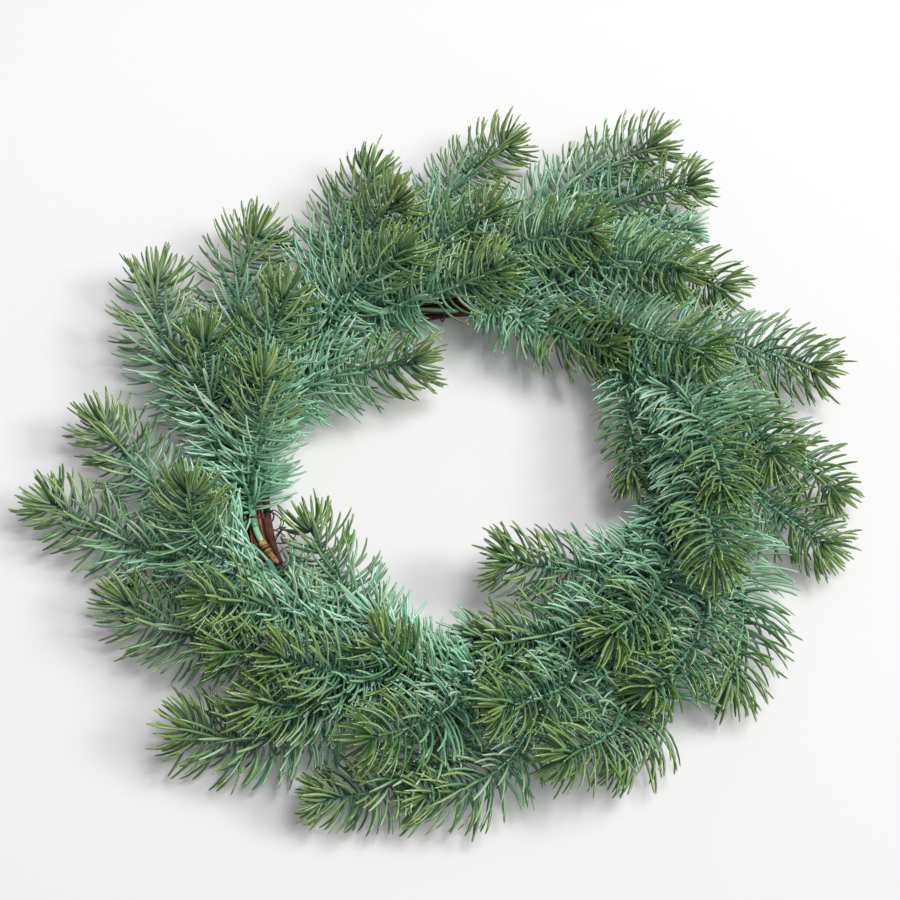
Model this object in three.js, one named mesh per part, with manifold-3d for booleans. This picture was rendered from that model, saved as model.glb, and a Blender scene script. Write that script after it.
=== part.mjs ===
// Evergreen wreath of moulded spruce sprays, bound round a ring of twisted vine and lying flat.
// Millimetres, +Z up. Seen from above, every twig sweeps clockwise round the ring.
import * as THREE from 'three';
import { mergeVertices } from 'three/addons/utils/BufferGeometryUtils.js';
import Module from 'manifold-3d';

const wasm = await Module();
wasm.setup();

// The ring: two long vines, the inner one wound three times and the outer one five times round it.
// Angles are in degrees throughout.
const ringRadius = 125;
const ringHeight = 10.5;
const vines = {
  inner: { turns: 3, twists: 4, offset: 3.1, radius: 2.4, sides: 4, steps: 108, start: 130 },
  outer: { turns: 5, twists: 11, offset: 8.5, radius: 2.5, sides: 5, steps: 150, start: 200 },
};
const vineEndGap = 6;
const bundleRadius = vines.outer.offset + vines.outer.radius;

// The stalks lie along the top of the ring, and the twigs grow from them.
const seatGap = 0.3;
const stalk = { radius: 2.2, sides: 4, spacing: 22, bare: 12, lean: 60 };
const twig = { radius: 1.6, sides: 3, spacing: 15, bare: 15, lean: 58 };
const tip = {
  length: 24, radius: 1.6, sides: 3, spacing: 5.5, bare: 2,
  lean: 62, endLean: 32, lastLean: 8, endNeedle: 20,
};

const stalkHeight = ringHeight + bundleRadius + seatGap + stalk.radius;

// A twig's course: how far it leans aside and up as it leaves the stalk, and how much of its span
// each end's heading pulls straight.
const course = { aside: 0.75, rise: 0.4, startPull: 0.22, endPull: 0.66 };

// Needles stand in whorls, two raised from each side of the stem. The rootDepth and rootWidth are
// shares of the stem's radius and of half a side.
const needle = { length: 26, spread: 3, rootLength: 2, rootDepth: 0.7, rootWidth: 1.2, sway: 6 };
const leastFan = 20;
const whorlTwist = 34;
const shares = [1, 0.85, 0.7];
const swings = [0, 12, -12, 22, -22];
const tucks = [0, 12, -12];

// The binding wire runs along the inner shoulder of the ring and takes one turn round each stalk.
const wire = {
  radius: 0.5, sides: 3, slack: 0.6, setback: 2.5, turnWidth: 4,
  runPoints: 3, tail: 12, bulge: 20, floor: 0.75,
};
const wireTurn = [120, 108, 99, 90, 81, 72, 58, 34, 10, -14, -38, -52, -62, -118, -128, -142, -166,
  -190, -214];
const wireRadius = bundleRadius + wire.slack + wire.radius;

// A notch under the ring lets each turn of the wire pass. It lies at a share of the turn's width.
const notch = { reach: 18, width: 5.5, height: 4, place: 0.58 };

// The least gaps from needle to needle, and from needles to the surface that the wreath lies on.
const clearance = 0.3;
const ownClearance = 0.1;
const floorGap = 1.5;
const seed = 20261;

const finishes = {
  vine: new THREE.MeshStandardMaterial({ name: 'vine', color: 0x5a3322, roughness: 0.85 }),
  wire: new THREE.MeshStandardMaterial({ name: 'wire', color: 0x3b2a20, roughness: 0.6 }),
  green: new THREE.MeshStandardMaterial({ name: 'green', color: 0x4a8468, roughness: 0.55 }),
  olive: new THREE.MeshStandardMaterial({ name: 'olive', color: 0x587a34, roughness: 0.55 }),
};
for (const finish of Object.values(finishes)) {
  finish.metalness = 0;
}

// Each spray: the ring angles where its stalk starts and ends, and its twigs. A twig leaves the
// stalk at ring angle root and ends at end (mm from the ring's centre), heading along aim, with
// its last stretch climbing by climb degrees. Angles are counter-clockwise from +X.
const sprays = [
  {
    name: 'left_low', from: 244, to: 206, twigs: [
      { root: 239, end: [-133, -118, 44], aim: 178, climb: 12 },
      { root: 235, end: [-143, -92, 58], aim: 179, climb: 12 },
      { root: 229, end: [-192, -80, 23], aim: 142, climb: 2 },
      { root: 219, end: [-239, -18, 23], aim: 148, climb: 1 },
      { root: 213, end: [-154, -30, 62], aim: 84, climb: 20 },
      { root: 207, end: [-212, 32, 25], aim: 124, climb: 1 },
    ],
  },
  {
    name: 'left', from: 196, to: 156, twigs: [
      { root: 188, end: [-116, 43, 66], aim: 87, climb: 20 },
      { root: 182, end: [-152, 74, 52], aim: 90, climb: 14 },
      { root: 174, end: [-187, 131, 24], aim: 92, climb: -1 },
      { root: 167, end: [-106, 97, 62], aim: 68, climb: 15 },
      { root: 163, end: [-29, 68, 36], aim: 8, climb: 3 },
      { root: 157, end: [-126, 161, 29], aim: 63, climb: 4 },
      { root: 168, end: [-78, 75, 32], aim: 41, climb: 3, plain: true },
    ],
  },
  {
    name: 'top_left', from: 148, to: 107, twigs: [
      { root: 143, end: [-57, 207, 23], aim: 60, climb: 3 },
      { root: 139, end: [-37, 128, 62], aim: 29, climb: 15 },
      { root: 134, end: [-40, 168, 56], aim: 32, climb: 30 },
      { root: 125, end: [19, 117, 60], aim: 20, climb: 13 },
      { root: 117, end: [16, 161, 54], aim: 26, climb: 15 },
      { root: 108, end: [26, 229, 25], aim: 34, climb: 6 },
      { root: 122, end: [-4, 105, 32], aim: -6, climb: 3, plain: true },
    ],
  },
  {
    name: 'top_right', from: 102, to: 66, twigs: [
      { root: 97, end: [76, 142, 64], aim: -3, climb: 15 },
      { root: 92, end: [119, 229, 25], aim: 23, climb: 6 },
      { root: 88, end: [87, 76, 38], aim: -18, climb: 5 },
      { root: 83, end: [139, 196, 31], aim: 10, climb: 5 },
      { root: 78, end: [127, 118, 58], aim: -26, climb: 14 },
      { root: 72, end: [138, 167, 25], aim: 4, climb: -4 },
      { root: 67, end: [155, 123, 29], aim: -30, climb: 0 },
      { root: 95, end: [39, 95, 32], aim: -34, climb: 3, plain: true },
    ],
  },
  {
    name: 'right', from: 62, to: 27, twigs: [
      { root: 57, end: [138, 60, 62], aim: -31, climb: 16 },
      { root: 50, end: [208, 68, 29], aim: -20, climb: -3 },
      { root: 44, end: [98, -7, 32], aim: -86, climb: 3 },
      { root: 38, end: [176, -4, 56], aim: -60, climb: 11 },
      { root: 33, end: [143, -30, 72], aim: -83, climb: 7 },
      { root: 28, end: [212, -13, 27], aim: -50, climb: -2 },
    ],
  },
  {
    name: 'right_low', from: 22, to: -22, twigs: [
      { root: 17, end: [137, -77, 74], aim: -87, climb: 13 },
      { root: 12, end: [205, -46, 26], aim: -39, climb: -6 },
      { root: 0, end: [147, -130, 25], aim: -110, climb: -6 },
      { root: -10, end: [101, -145, 54], aim: -137, climb: 15 },
      { root: -14, end: [80, -117, 64], aim: -138, climb: 17 },
      { root: -21, end: [24, -63, 42], aim: 171, climb: 8 },
      { root: -2, end: [89, -58, 34], aim: -131, climb: 3, plain: true },
    ],
  },
  {
    name: 'bottom_right', from: -27, to: -66, twigs: [
      { root: -32, end: [15, -112, 40], aim: -173, climb: 3 },
      { root: -38, end: [85, -173, 25], aim: -152, climb: -2 },
      { root: -46, end: [54, -182, 52], aim: -159, climb: 12 },
      { root: -54, end: [19, -158, 62], aim: -166, climb: 17 },
      { root: -65, end: [-23, -195, 25], aim: -176, climb: -3 },
      { root: -57, end: [4, -105, 32], aim: 174, climb: 3, plain: true },
    ],
  },
  {
    name: 'bottom_left', from: -71, to: -111, twigs: [
      { root: -78, end: [-48, -120, 58], aim: 138, climb: 27 },
      { root: -82, end: [-51, -175, 60], aim: -162, climb: 15 },
      { root: -86, end: [-78, -196, 23], aim: -180, climb: 1 },
      { root: -94, end: [-101, -129, 62], aim: 165, climb: 16 },
      { root: -99, end: [-88, -41, 36], aim: 119, climb: 6 },
      { root: -104, end: [-113, -151, 50], aim: 178, climb: 18 },
      { root: -110, end: [-152, -157, 24], aim: 160, climb: 5 },
      { root: -88, end: [-51, -92, 32], aim: 143, climb: 3, plain: true },
    ],
  },
];

const radians = THREE.MathUtils.degToRad;
const mix = THREE.MathUtils.lerp;

// A repeatable stream of numbers from 0 to 1.
function randomStream(start) {
  let state = start;
  return () => {
    state = (state + 0x6d2b79f5) | 0;
    let t = Math.imul(state ^ (state >>> 15), 1 | state);
    t = (t + Math.imul(t ^ (t >>> 7), 61 | t)) ^ t;
    return ((t ^ (t >>> 14)) >>> 0) / 4294967296;
  };
}

// A point given by its angle round the ring, and its angle and distance round the ring's core.
function ringPoint(around, roll, offset) {
  const reach = ringRadius + offset * Math.cos(radians(roll));
  return new THREE.Vector3(
    reach * Math.cos(radians(around)),
    reach * Math.sin(radians(around)),
    ringHeight + offset * Math.sin(radians(roll)),
  );
}

function headingOf(aim, climb) {
  const level = Math.cos(radians(climb));
  return new THREE.Vector3(
    level * Math.cos(radians(aim)),
    level * Math.sin(radians(aim)),
    Math.sin(radians(climb)),
  );
}

// One vine, wound clockwise round the ring while it twists round the ring's core.
class VinePath extends THREE.Curve {
  constructor(vine) {
    super();
    this.vine = vine;
    this.sweep = 360 * vine.turns - vineEndGap;
  }

  getPoint(t) {
    const travelled = t * this.sweep;
    const roll = travelled * (this.vine.twists / this.vine.turns);
    return ringPoint(this.vine.start - travelled, roll, this.vine.offset);
  }
}

// The stalk's arc along the top of the ring.
class StalkPath extends THREE.Curve {
  constructor(from, to) {
    super();
    this.from = from;
    this.to = to;
  }

  getPoint(t) {
    return ringPoint(mix(this.from, this.to, t), 90, stalkHeight - ringHeight);
  }
}

// A stretch of another curve, between two fractions of its length.
class Stretch extends THREE.Curve {
  constructor(whole, from, to) {
    super();
    this.whole = whole;
    this.from = from;
    this.to = to;
  }

  getPoint(t) {
    return this.whole.getPointAt(mix(this.from, this.to, t));
  }
}

// A twig leaves its stalk along the ring, leaning towards its end, and turns to its last heading.
function twigPath({ root, end, aim, climb }) {
  const start = ringPoint(root, 90, stalkHeight - ringHeight);
  const finish = new THREE.Vector3(...end);
  const span = finish.distanceTo(start);
  const leave = headingOf(root - 90, 0)
    .add(finish.clone().sub(start).setZ(0).normalize().multiplyScalar(course.aside))
    .normalize()
    .add(new THREE.Vector3(0, 0, course.rise))
    .normalize();
  return new THREE.CubicBezierCurve3(
    start,
    start.clone().addScaledVector(leave, span * course.startPull),
    finish.clone().addScaledVector(headingOf(aim, climb), -span * course.endPull),
    finish,
  );
}

function polygon(radius, sides) {
  const corners = [];
  for (let i = 0; i < sides; i += 1) {
    const angle = (2 * Math.PI * i) / sides;
    corners.push(new THREE.Vector2(radius * Math.cos(angle), radius * Math.sin(angle)));
  }
  return new THREE.Shape(corners);
}

function tube(path, radius, sides, steps) {
  const options = { steps, bevelEnabled: false, extrudePath: path };
  return new THREE.ExtrudeGeometry(polygon(radius, sides), options);
}

function toSolid(geometry) {
  const bare = geometry.clone();
  bare.deleteAttribute('normal');
  bare.deleteAttribute('uv');
  const merged = mergeVertices(bare, 1e-4);
  return new wasm.Manifold(new wasm.Mesh({
    numProp: 3,
    vertProperties: Float32Array.from(merged.attributes.position.array),
    triVerts: Uint32Array.from(merged.index.array),
  }));
}

// Keeps the one main body, without loose scraps or sealed hollows.
function toGeometry(solid) {
  const bodies = solid.decompose();
  bodies.sort((a, b) => b.volume() - a.volume());
  const mesh = bodies[0].getMesh();
  const geometry = new THREE.BufferGeometry();
  geometry.setAttribute('position', new THREE.BufferAttribute(Float32Array.from(mesh.vertProperties), 3));
  geometry.setIndex(new THREE.BufferAttribute(Uint32Array.from(mesh.triVerts), 1));
  return geometry;
}

function named(name, geometry, finish) {
  const mesh = new THREE.Mesh(geometry, finish);
  mesh.name = name;
  return mesh;
}

// Everything that a needle of another piece has to miss, as tapered bars.
const bars = [];

function addBars(owner, points, radius, stem) {
  points.slice(1).forEach((b, index) => {
    bars.push({ owner, stem, a: points[index], b, rootRadius: radius, endRadius: radius });
  });
}

// The gap between two tapered bars, measured where their axes come closest.
function barGap(one, two) {
  const d1 = one.b.clone().sub(one.a);
  const d2 = two.b.clone().sub(two.a);
  const r = one.a.clone().sub(two.a);
  const a = d1.dot(d1);
  const e = d2.dot(d2);
  const f = d2.dot(r);
  const c = d1.dot(r);
  const b = d1.dot(d2);
  const denominator = a * e - b * b;
  let s = denominator > 1e-9 ? THREE.MathUtils.clamp((b * f - c * e) / denominator, 0, 1) : 0;
  let t = (b * s + f) / e;
  if (t < 0 || t > 1) {
    t = THREE.MathUtils.clamp(t, 0, 1);
    s = THREE.MathUtils.clamp((b * t - c) / a, 0, 1);
  }
  const near = one.a.clone().addScaledVector(d1, s);
  const far = two.a.clone().addScaledVector(d2, t);
  return near.distanceTo(far) - mix(one.rootRadius, one.endRadius, s)
    - mix(two.rootRadius, two.endRadius, t);
}

// Whether two needles of a whorl fan apart, and lie in the order of their roots where these share
// an edge.
function fansFrom(bar, other) {
  const along = bar.b.clone().sub(bar.a);
  const otherAlong = other.b.clone().sub(other.a);
  return along.angleTo(otherAlong) > radians(leastFan) && bar.rim.every((corner, index) => {
    const next = bar.rim[(index + 1) % bar.rim.length];
    if (!other.rim.includes(corner) || !other.rim.includes(next)) {
      return true;
    }
    const facing = next.clone().sub(corner).cross(bar.b.clone().sub(corner));
    return facing.dot(other.b.clone().sub(corner)) > 0;
  });
}

// A needle grows out of its own stem, fans out from the others of its whorl, and misses the rest.
function isClear(bar) {
  const reach = 2 * (needle.length + needle.spread);
  return bars.every((other) => {
    if (other.a.distanceToSquared(bar.a) > reach * reach || (other.stem === bar.stem && !other.whorl)) {
      return true;
    }
    if (other.whorl === bar.whorl) {
      return fansFrom(bar, other);
    }
    return barGap(bar, other) > (other.owner === bar.owner ? ownClearance : clearance);
  });
}

// A closed skin over a row of corner loops. Each facet is two triangles. A triangle that raised
// names, as "loop:side:half", is drawn out to a point, and so is the last loop's by "end".
function skin(loops, raised = new Map()) {
  const count = loops[0].length;
  const points = loops.flat();
  const triangles = [];
  const corner = (loop, side) => loop * count + (side % count);
  const face = (rim, point) => {
    if (!point) {
      for (let i = 1; i < rim.length - 1; i += 1) {
        triangles.push(rim[0], rim[i], rim[i + 1]);
      }
      return;
    }
    const apex = points.push(point) - 1;
    rim.forEach((from, index) => triangles.push(from, rim[(index + 1) % rim.length], apex));
  };
  for (let loop = 0; loop < loops.length - 1; loop += 1) {
    for (let side = 0; side < count; side += 1) {
      const near = corner(loop, side);
      const far = corner(loop + 1, side + 1);
      face([near, corner(loop + 1, side), far], raised.get(`${loop}:${side}:0`));
      face([near, far, corner(loop, side + 1)], raised.get(`${loop}:${side}:1`));
    }
  }
  const rim = Array.from({ length: count }, (_, side) => side);
  face(rim);
  face(rim.reverse().map((side) => corner(loops.length - 1, side)), raised.get('end'));
  const geometry = new THREE.BufferGeometry().setFromPoints(points);
  geometry.setIndex(triangles);
  return geometry;
}

// A direction square to a path, at an angle about it. Angle 0 is level and 90 is up.
function across(along, angle) {
  const level = new THREE.Vector3().crossVectors(along, new THREE.Vector3(0, 0, 1)).normalize();
  const lift = new THREE.Vector3().crossVectors(level, along);
  return level.multiplyScalar(Math.cos(radians(angle))).addScaledVector(lift, Math.sin(radians(angle)));
}

// A stretch of stem that carries whorls of needles. Each whorl sits between two loops of corners,
// and is turned a little from the one before.
function makeStem(owner, path, form, random) {
  const { radius, sides, spacing, bare, lean, endLean = lean, endNeedle = needle.length } = form;
  const length = path.getLength();
  const firstRoll = (360 / sides) * random();
  const rootRadius = needle.rootWidth * radius * Math.sin(Math.PI / sides);
  const stem = { owner, rootRadius, loops: [], slots: [], raised: new Map() };
  const addLoop = (place, roll) => {
    const centre = path.getPointAt(place);
    const along = path.getTangentAt(place);
    stem.loops.push(Array.from({ length: sides }, (_, side) => (
      centre.clone().addScaledVector(across(along, roll + (360 * side) / sides), radius))));
  };
  addLoop(0, firstRoll);
  const whorls = Math.round((length - bare) / spacing);
  const half = needle.rootLength / 2 / length;
  const jitter = (most) => most * (2 * random() - 1);
  for (let whorl = 0; whorl < whorls; whorl += 1) {
    const share = (whorl + 0.5) / whorls;
    const place = mix(bare / length, 1, share);
    const roll = firstRoll + whorl * whorlTwist;
    addLoop(place - half, roll);
    addLoop(place + half, roll);
    const [near, far] = stem.loops.slice(-2);
    for (let i = 0; i < 2 * sides; i += 1) {
      const side = Math.floor(i / 2);
      const next = (side + 1) % sides;
      const angle = roll + (180 * (i + 0.5)) / sides;
      const along = path.getTangentAt(place);
      stem.slots.push({
        key: `${stem.loops.length - 2}:${side}:${i % 2}`,
        rim: i % 2 ? [near[side], far[next], near[next]] : [near[side], far[side], far[next]],
        whorl: `${owner} ${bars.length} ${whorl}`,
        root: path.getPointAt(place).addScaledVector(across(along, angle), needle.rootDepth * radius),
        along,
        roll: angle + jitter(needle.sway),
        lean: mix(lean, endLean, share) + jitter(needle.sway),
        length: mix(needle.length, endNeedle, share) + jitter(needle.spread),
      });
    }
  }
  addLoop(1, firstRoll + (whorls - 1) * whorlTwist);
  addBars(owner, path.getSpacedPoints(Math.max(2, Math.round(length / 12))), radius, stem);
  return stem;
}

// The needle that ends a twig, counted with the last whorl.
function endSlot(path, { whorl }) {
  return {
    key: 'end',
    rim: [],
    whorl,
    root: path.getPointAt(1),
    along: path.getTangentAt(1),
    roll: 90,
    lean: tip.lastLean,
    length: tip.endNeedle,
  };
}

function needleBar(stem, { whorl, rim, root, along, roll, lean, length }, swing, tuck, share) {
  const direction = along.clone().multiplyScalar(Math.cos(radians(lean + tuck)))
    .addScaledVector(across(along, roll + swing), Math.sin(radians(lean + tuck)));
  return {
    owner: stem.owner,
    stem,
    whorl,
    rim,
    a: root,
    b: root.clone().addScaledVector(direction, length * share),
    rootRadius: stem.rootRadius,
    endRadius: 0,
  };
}

// The first clear place for a needle: as grown, then turned aside, tucked in or shorter.
function fitNeedle(stem, slot) {
  for (const share of shares) {
    for (const swing of swings) {
      for (const tuck of tucks) {
        const bar = needleBar(stem, slot, swing, tuck, share);
        if (bar.b.z > floorGap && isClear(bar)) {
          return bar;
        }
      }
    }
  }
  return null;
}

// One needle for each stem in turn, so that no stem crowds out the next.
function growNeedles(stems) {
  const most = Math.max(...stems.map(({ slots }) => slots.length));
  for (let turn = 0; turn < most; turn += 1) {
    for (const stem of stems.filter(({ slots }) => turn < slots.length)) {
      const slot = stem.slots[stem.slots.length - 1 - turn];
      const bar = fitNeedle(stem, slot);
      if (bar) {
        bars.push(bar);
        stem.raised.set(slot.key, bar.b);
      }
    }
  }
}

// The wire's route: one turn round the whole section at each stalk's start, and along the ring's
// inner shoulder between.
function wirePoints() {
  const starts = sprays.map(({ from }) => from - wire.setback);
  const points = [];
  starts.forEach((start, index) => {
    const turnEnd = start - wire.turnWidth;
    wireTurn.forEach((roll) => {
      const share = (wireTurn[0] - roll) / 360;
      points.push(wirePoint(start - wire.turnWidth * share, roll));
    });
    const runEnd = index < starts.length - 1 ? starts[index + 1] : turnEnd - wire.tail;
    const run = THREE.MathUtils.euclideanModulo(turnEnd - runEnd, 360);
    for (let i = 0; i < wire.runPoints; i += 1) {
      points.push(wirePoint(turnEnd - (run * i) / wire.runPoints, wireTurn[0]));
    }
  });
  return points;
}

// A thin round wire through its points, with its section carried along without twist.
function wireLoops(points) {
  const normal = new THREE.Vector3(0, 0, 1);
  return points.map((point, index) => {
    const before = points[index - 1] ?? point.clone().multiplyScalar(2).sub(points[index + 1]);
    const after = points[index + 1] ?? point.clone().multiplyScalar(2).sub(before);
    const along = after.clone().sub(point).normalize()
      .add(point.clone().sub(before).normalize())
      .normalize();
    normal.addScaledVector(along, -normal.dot(along)).normalize();
    const other = new THREE.Vector3().crossVectors(along, normal);
    return Array.from({ length: wire.sides }, (_, side) => {
      const angle = (-2 * Math.PI * side) / wire.sides;
      return point.clone().addScaledVector(normal, wire.radius * Math.cos(angle))
        .addScaledVector(other, wire.radius * Math.sin(angle));
    });
  });
}

// The wire bulges over the stalk at the top, and lies level just above the surface at the bottom.
function wirePoint(around, roll) {
  const offTop = Math.abs(THREE.MathUtils.euclideanModulo(roll - 90 + 180, 360) - 180);
  const bulge = stalkHeight + stalk.radius + wire.slack + wire.radius - ringHeight - wireRadius;
  const point = ringPoint(around, roll, wireRadius + bulge * Math.exp(-((offTop / wire.bulge) ** 2)));
  point.z = Math.max(point.z, wire.floor);
  return point;
}

// Flats under the vine where the ring rests, and a notch in them for each turn of the wire.
function cutUnderside(solid) {
  const side = 4 * ringRadius;
  const slab = new THREE.BoxGeometry(side, side, side).translate(0, 0, -side / 2);
  let cut = solid.subtract(toSolid(slab));
  for (const { from } of sprays) {
    const box = new THREE.BoxGeometry(notch.reach, notch.width, notch.height);
    box.translate(ringRadius, 0, wire.floor + wire.radius + seatGap - notch.height / 2);
    box.rotateZ(radians(from - wire.setback - wire.turnWidth * notch.place));
    cut = cut.subtract(toSolid(box));
  }
  return cut;
}

// A spray's stems: its stalk and the green and olive stretches of its twigs.
function makeSpray(spray, index) {
  const owner = `spray_${spray.name}`;
  const random = randomStream(seed + index);
  const green = [makeStem(owner, new StalkPath(spray.from, spray.to), stalk, random)];
  const olive = [];
  spray.twigs.forEach((layout, number) => {
    const path = twigPath(layout);
    if (layout.plain) {
      green.push(makeStem(owner, path, twig, random));
      return;
    }
    const length = path.getLength();
    const greenEnd = 1 - tip.length / length;
    green.push(makeStem(owner, new Stretch(path, 0, greenEnd), twig, random));
    const last = new Stretch(path, greenEnd + seatGap / length, 1);
    const stem = makeStem(`tip_${spray.name}_${number + 1}`, last, tip, random);
    stem.slots.push(endSlot(last, stem.slots.at(-1)));
    olive.push(stem);
  });
  return { owner, green, olive };
}

function stemSolid({ loops, raised }) {
  return toSolid(skin(loops, raised));
}

const wreath = new THREE.Group();

for (const [name, vine] of Object.entries(vines)) {
  const path = new VinePath(vine);
  addBars(`vine_${name}`, path.getSpacedPoints(vine.steps), vine.radius);
  const solid = toSolid(tube(path, vine.radius, vine.sides, vine.steps));
  wreath.add(named(`vine_${name}`, toGeometry(cutUnderside(solid)), finishes.vine));
}

const wireRoute = wirePoints();
addBars('binding_wire', wireRoute, wire.radius);
wreath.add(named('binding_wire', toGeometry(toSolid(skin(wireLoops(wireRoute)))), finishes.wire));

const made = sprays.map(makeSpray);
growNeedles(made.flatMap(({ green, olive }) => [...green, ...olive]));
for (const { owner, green, olive } of made) {
  const joined = green.map(stemSolid).reduce((sum, solid) => sum.add(solid));
  wreath.add(named(owner, toGeometry(joined), finishes.green));
  for (const stem of olive) {
    wreath.add(named(stem.owner, toGeometry(stemSolid(stem)), finishes.olive));
  }
}

// The origin is at the middle of the wreath's outline, on the surface that it lies on.
const middle = new THREE.Box3().setFromObject(wreath).getCenter(new THREE.Vector3());
wreath.children.forEach((child) => child.position.set(-middle.x, -middle.y, 0));

export default wreath;
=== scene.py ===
"""Dressed model of an evergreen wreath: moulded needle sprays bound on a ring of twisted vine.

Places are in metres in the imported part's frame. The layout of the sprays and the ring is in
millimetres from the ring's centre, and Ring.to_frame turns it into the frame.
"""

import logging
import math
from dataclasses import dataclass, field, replace
from enum import Enum

import bpy
import numpy as np
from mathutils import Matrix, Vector


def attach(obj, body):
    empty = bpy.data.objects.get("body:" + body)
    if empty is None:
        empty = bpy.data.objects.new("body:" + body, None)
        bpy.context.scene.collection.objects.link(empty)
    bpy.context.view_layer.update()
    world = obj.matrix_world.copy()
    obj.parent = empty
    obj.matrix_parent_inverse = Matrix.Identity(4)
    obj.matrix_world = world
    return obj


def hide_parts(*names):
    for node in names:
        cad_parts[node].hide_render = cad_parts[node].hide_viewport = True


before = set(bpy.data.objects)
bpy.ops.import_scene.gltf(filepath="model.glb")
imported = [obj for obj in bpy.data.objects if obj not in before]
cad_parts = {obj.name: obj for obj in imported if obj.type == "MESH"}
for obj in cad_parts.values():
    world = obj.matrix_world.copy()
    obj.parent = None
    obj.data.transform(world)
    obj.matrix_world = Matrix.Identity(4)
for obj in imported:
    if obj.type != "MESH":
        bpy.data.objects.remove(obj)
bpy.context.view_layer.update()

LOG = logging.getLogger("wreath")
BODY = "root"
MILLIMETRE = 0.001
SEED = 20261
FULL_TURN = 2 * math.pi
GOLDEN_TURN = math.pi * (3 - math.sqrt(5))
LEVEL = np.array([1.0, 1.0, 0.0])
UP = np.array([0.0, 0.0, 1.0])
# The angle of the top round the ring's core, in degrees.
TOP = 90.0
# How far the camera's line of sight leans towards -Y, for each step of height.
SIGHT_SLANT = 0.5

Colour = tuple[float, float, float]
Place = tuple[float, float, float]
Pair = tuple[float, float]
Points = np.ndarray
Draws = np.random.Generator


class Slot(Enum):
    """The record's material slots."""

    VINE = "vine"
    WIRE = "wire"
    GREEN = "green"
    OLIVE = "olive"


def srgb(red: int, green: int, blue: int) -> Colour:
    """Turns a display colour, in steps of 255, into the linear one that a shader takes."""
    shares = (red / 255, green / 255, blue / 255)
    return tuple(s / 12.92 if s <= 0.04045 else ((s + 0.055) / 1.055) ** 2.4 for s in shares)


class Signal:
    """A shader socket that can be used in arithmetic, value by value or vector by vector."""

    def __init__(self, graph: "Graph", socket: bpy.types.NodeSocket) -> None:
        """Wraps a graph's output socket."""
        self.graph = graph
        self.socket = socket

    def _join(self, operation: str, first: object, second: object) -> "Signal":
        """Adds the Math or Vector Math node that joins two operands, and gives its result."""
        kind = "ShaderNodeVectorMath" if self.socket.type == "VECTOR" else "ShaderNodeMath"
        return self.graph.node(kind, {"operation": operation}, {0: first, 1: second})

    def __add__(self, other: object) -> "Signal":
        """Adds."""
        return self._join("ADD", self, other)

    def __radd__(self, other: object) -> "Signal":
        """Adds from the right."""
        return self._join("ADD", other, self)

    def __sub__(self, other: object) -> "Signal":
        """Subtracts."""
        return self._join("SUBTRACT", self, other)

    def __rsub__(self, other: object) -> "Signal":
        """Subtracts from the right."""
        return self._join("SUBTRACT", other, self)

    def __mul__(self, other: object) -> "Signal":
        """Multiplies."""
        return self._join("MULTIPLY", self, other)

    def __rmul__(self, other: object) -> "Signal":
        """Multiplies from the right."""
        return self._join("MULTIPLY", other, self)


class Graph:
    """The node graph of one new material."""

    def __init__(self, name: str) -> None:
        """Starts an empty material.

        Args:
            name: the material's name.
        """
        self.material = bpy.data.materials.new(name)
        self.material.use_nodes = True
        self.tree = self.material.node_tree
        self.tree.nodes.clear()

    def node(self, kind: str, settings: dict, inputs: dict, out: int | str = 0) -> Signal | None:
        """Adds any node.

        Args:
            kind: the node's type.
            settings: its properties, set before its inputs.
            inputs: a value or a Signal for each input, by name or number.
            out: the output to return.

        Returns:
            The chosen output, or None for a node that has none.
        """
        made = self.tree.nodes.new(kind)
        for key, value in settings.items():
            setattr(made, key, value)
        for key, value in inputs.items():
            if isinstance(value, Signal):
                self.tree.links.new(value.socket, made.inputs[key])
            else:
                made.inputs[key].default_value = value
        return Signal(self, made.outputs[out]) if made.outputs else None

    def mark(self, name: str) -> Signal:
        """Reads a value stored on the mesh's points."""
        return self.node("ShaderNodeAttribute", {"attribute_name": name}, {}, "Fac")

    def place(self) -> Signal:
        """Reads the place on the object."""
        return self.node("ShaderNodeTexCoord", {}, {}, "Object")

    def noise(self, scale: float, detail: float) -> Signal:
        """Adds noise over the object, by its cycles per metre and its number of finer layers."""
        inputs = {"Vector": self.place(), "Scale": scale, "Detail": detail}
        return self.node("ShaderNodeTexNoise", {}, inputs, "Fac")

    def remap(self, signal: Signal, low: float, high: float) -> Signal:
        """Stretches the range from low to high to 0 to 1, and clamps it there."""
        inputs = {"Value": signal, "From Min": low, "From Max": high}
        return self.node("ShaderNodeMapRange", {"clamp": True}, inputs)

    def blend(self, share: Signal, first: Signal | Colour, second: Signal | Colour) -> Signal:
        """Mixes two colours.

        Args:
            share: how much of the second.
            first: a colour or a Signal.
            second: a colour or a Signal.

        Returns:
            The mixed colour.
        """
        ends = [c if isinstance(c, Signal) else (*c, 1.0) for c in (first, second)]
        settings = {"data_type": "RGBA", "clamp_factor": True}
        return self.node("ShaderNodeMix", settings, {0: share, 6: ends[0], 7: ends[1]}, 2)

    def uneven(self, grain: Signal, least: float, more: float) -> Signal:
        """Turns grain into a roughness, from the least to that much more."""
        return self.remap(grain, 0.2, 0.8) * more + least

    def bump(self, height: Signal, depth: float, strength: float) -> Signal:
        """Turns a height from 0 to 1 into a bumped normal, by its full depth in metres."""
        inputs = {"Height": height, "Distance": depth, "Strength": strength}
        return self.node("ShaderNodeBump", {}, inputs)

    def finish(self, varying: dict, fixed: dict) -> bpy.types.Material:
        """Adds the surface shader and the output.

        Args:
            varying: inputs that change over the surface.
            fixed: inputs that are the same all over.

        Returns:
            The material.
        """
        shader = self.node("ShaderNodeBsdfPrincipled", {}, {**fixed, **varying})
        self.node("ShaderNodeOutputMaterial", {}, {"Surface": shader})
        return self.material


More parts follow.
